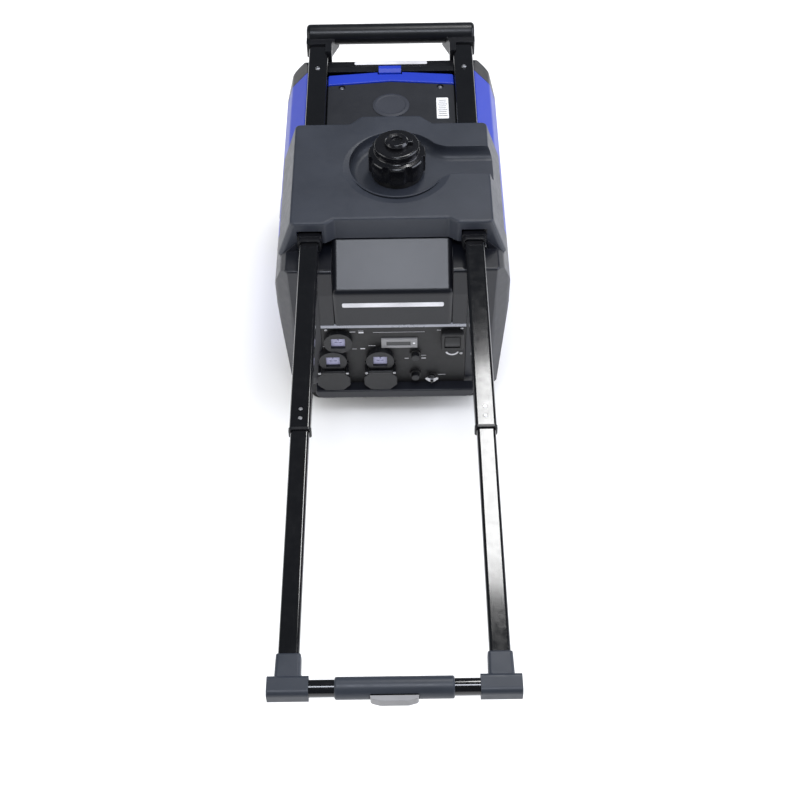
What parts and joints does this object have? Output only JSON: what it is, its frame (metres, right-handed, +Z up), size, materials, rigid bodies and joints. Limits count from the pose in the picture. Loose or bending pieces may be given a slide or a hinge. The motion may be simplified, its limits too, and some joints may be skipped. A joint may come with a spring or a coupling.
{
  "type": "inverter generator",
  "caption": "Closed-frame portable petrol inverter generator on two wheels, with a front control panel and a two-stage telescopic pull handle.",
  "frame": {"origin": "on the ground, under the middle of the model's length with the pull handle right out", "axes": "+Z up; the control panel faces -Y and the handle pulls out towards -Y; +X is to the right when looking at the panel"},
  "size_m": [0.446, 1.56, 0.4979],
  "materials": {
    "slate_plastic": "fine grained",
    "blue_plastic": "satin",
    "black_plastic": "satin",
    "panel_black": "matte",
    "gloss_black_tube": "gloss",
    "rubber_black": "matte",
    "steel_bright": "brushed",
    "silver_trim": "silver paint",
    "insert_pale": "satin",
    "display_grey": "satin",
    "aluminium_cast": "cast",
    "steel_dark": "satin",
    "tank_paint": "satin",
    "copper_iron": "wound",
    "ceramic_white": "glazed",
    "rope_white": "braided",
    "tyre_rubber": "matte"
  },
  "bodies": {
    "casing": {"base_tray": "black_plastic", "front_feet": "rubber_black", "side_panel_left": "blue_plastic", "side_panel_right": "blue_plastic", "front_quarter_left": "slate_plastic", "front_quarter_right": "slate_plastic", "rear_cover": "black_plastic", "top_frame": "black_plastic", "service_lid": "slate_plastic", "lid_plug": "rubber_black", "casing_screws": "steel_bright", "rear_trim": "blue_plastic", "front_cowl": "slate_plastic", "panel_trim": "silver_trim", "control_panel": "panel_black", "front_sill": "slate_plastic", "tank_cover": "slate_plastic", "fuel_tank": "tank_paint", "filler_neck": "rubber_black", "outer_rails": "gloss_black_tube", "rail_collars": "slate_plastic", "rear_handle": "slate_plastic", "sockets": "black_plastic", "socket_inserts": "insert_pale", "display_module": "display_grey", "axle": "steel_bright", "recoil_housing": "black_plastic", "engine_block": "aluminium_cast", "alternator_stator": "copper_iron", "spark_plug": "ceramic_white", "muffler": "steel_dark", "carburettor": "aluminium_cast", "air_cleaner": "black_plastic", "inverter_module": "aluminium_cast", "battery": "black_plastic"},
    "middle_stage": {"middle_tubes": "gloss_black_tube", "middle_collars": "black_plastic", "tube_rivets": "steel_bright"},
    "inner_stage": {"inner_tubes": "gloss_black_tube", "handle_ends": "slate_plastic", "handle_bar": "gloss_black_tube", "handle_grip": "slate_plastic"},
    "release_button": {"release_button": "silver_trim"},
    "cap_insert": {"cap_insert": "black_plastic"},
    "fuel_cap": {"fuel_cap": "black_plastic"},
    "vent_knob": {"vent_knob": "black_plastic"},
    "socket_cover_b": {"socket_cover_b": "black_plastic"},
    "socket_cover_c": {"socket_cover_c": "black_plastic"},
    "engine_switch": {"engine_switch": "black_plastic"},
    "breaker_upper": {"breaker_upper": "black_plastic"},
    "breaker_lower": {"breaker_lower": "black_plastic"},
    "earth_nut": {"earth_nut": "steel_bright"},
    "wheel_left": {"wheel_left": "tyre_rubber"},
    "wheel_right": {"wheel_right": "tyre_rubber"},
    "recoil_handle": {"recoil_handle": "black_plastic", "recoil_rope": "rope_white"},
    "recoil_pulley": {"recoil_pulley": "black_plastic"},
    "lid_latch": {"lid_latch": "blue_plastic"},
    "crank": {"crankshaft": "steel_dark", "alternator_rotor": "steel_dark"}
  },
  "joints": [
    {"name": "middle_slide", "type": "slide", "parent": "casing", "child": "middle_stage", "axis": [0, 1, 0], "range_m": [0, 0.424]},
    {"name": "inner_slide", "type": "slide", "parent": "middle_stage", "child": "inner_stage", "axis": [0, 1, 0], "range_m": [0, 0.4]},
    {"name": "button_press", "type": "slide", "parent": "inner_stage", "child": "release_button", "axis": [0, 1, 0], "range_m": [0, 0.0025], "stiffness_N_per_m": 800, "springref_m": -0.001},
    {"name": "cap_lift", "type": "slide", "parent": "casing", "child": "cap_insert", "axis": [0, 0, 1], "range_m": [0, 0.06]},
    {"name": "cap_turn", "type": "hinge", "parent": "cap_insert", "child": "fuel_cap", "pos_m": [0.011, 0.314, 0.445], "axis": [0, 0, 1], "range_deg": [0, 120]},
    {"name": "vent_turn", "type": "hinge", "parent": "fuel_cap", "child": "vent_knob", "pos_m": [0.011, 0.314, 0.49], "axis": [0, 0, 1], "range_deg": [0, 90]},
    {"name": "cover_b_hinge", "type": "hinge", "parent": "casing", "child": "socket_cover_b", "pos_m": [-0.118, 0.064, 0.131], "axis": [1, 0, 0], "range_deg": [-180, 0]},
    {"name": "cover_c_hinge", "type": "hinge", "parent": "casing", "child": "socket_cover_c", "pos_m": [-0.027, 0.064, 0.131], "axis": [1, 0, 0], "range_deg": [-180, 0]},
    {"name": "switch_rock", "type": "hinge", "parent": "casing", "child": "engine_switch", "pos_m": [0.1115, 0.076, 0.207], "axis": [1, 0, 0], "range_deg": [-8, 8]},
    {"name": "upper_breaker_press", "type": "slide", "parent": "casing", "child": "breaker_upper", "axis": [0, 1, 0], "range_m": [0, 0.003], "stiffness_N_per_m": 600, "springref_m": -0.001},
    {"name": "lower_breaker_press", "type": "slide", "parent": "casing", "child": "breaker_lower", "axis": [0, 1, 0], "range_m": [0, 0.003], "stiffness_N_per_m": 600, "springref_m": -0.001},
    {"name": "earth_nut_turn", "type": "hinge", "parent": "casing", "child": "earth_nut", "pos_m": [0.073, 0.07, 0.097], "axis": [0, 1, 0], "continuous": true},
    {"name": "left_wheel_roll", "type": "hinge", "parent": "casing", "child": "wheel_left", "pos_m": [-0.19, 0.596, 0.076], "axis": [1, 0, 0], "continuous": true},
    {"name": "right_wheel_roll", "type": "hinge", "parent": "casing", "child": "wheel_right", "pos_m": [0.19, 0.596, 0.076], "axis": [1, 0, 0], "continuous": true},
    {"name": "recoil_pull", "type": "slide", "parent": "casing", "child": "recoil_handle", "axis": [-1, 0, 0], "range_m": [0, 0.5], "stiffness_N_per_m": 20, "springref_m": -0.3},
    {"name": "pulley_turn", "type": "hinge", "parent": "casing", "child": "recoil_pulley", "pos_m": [0, 0.39, 0.19], "axis": [0, 1, 0], "range_deg": [-400, 0]},
    {"name": "latch_lift", "type": "hinge", "parent": "casing", "child": "lid_latch", "pos_m": [0, 0.639, 0.4], "axis": [1, 0, 0], "range_deg": [0, 20], "stiffness_Nm_per_rad": 0.5, "springref_deg": -5.73},
    {"name": "crank_turn", "type": "hinge", "parent": "casing", "child": "crank", "pos_m": [0, 0.5, 0.19], "axis": [0, 1, 0], "continuous": true}
  ],
  "couplings": [
    {"joint": "pulley_turn", "follows": "recoil_pull", "rad_per_m": -13.889}
  ]
}
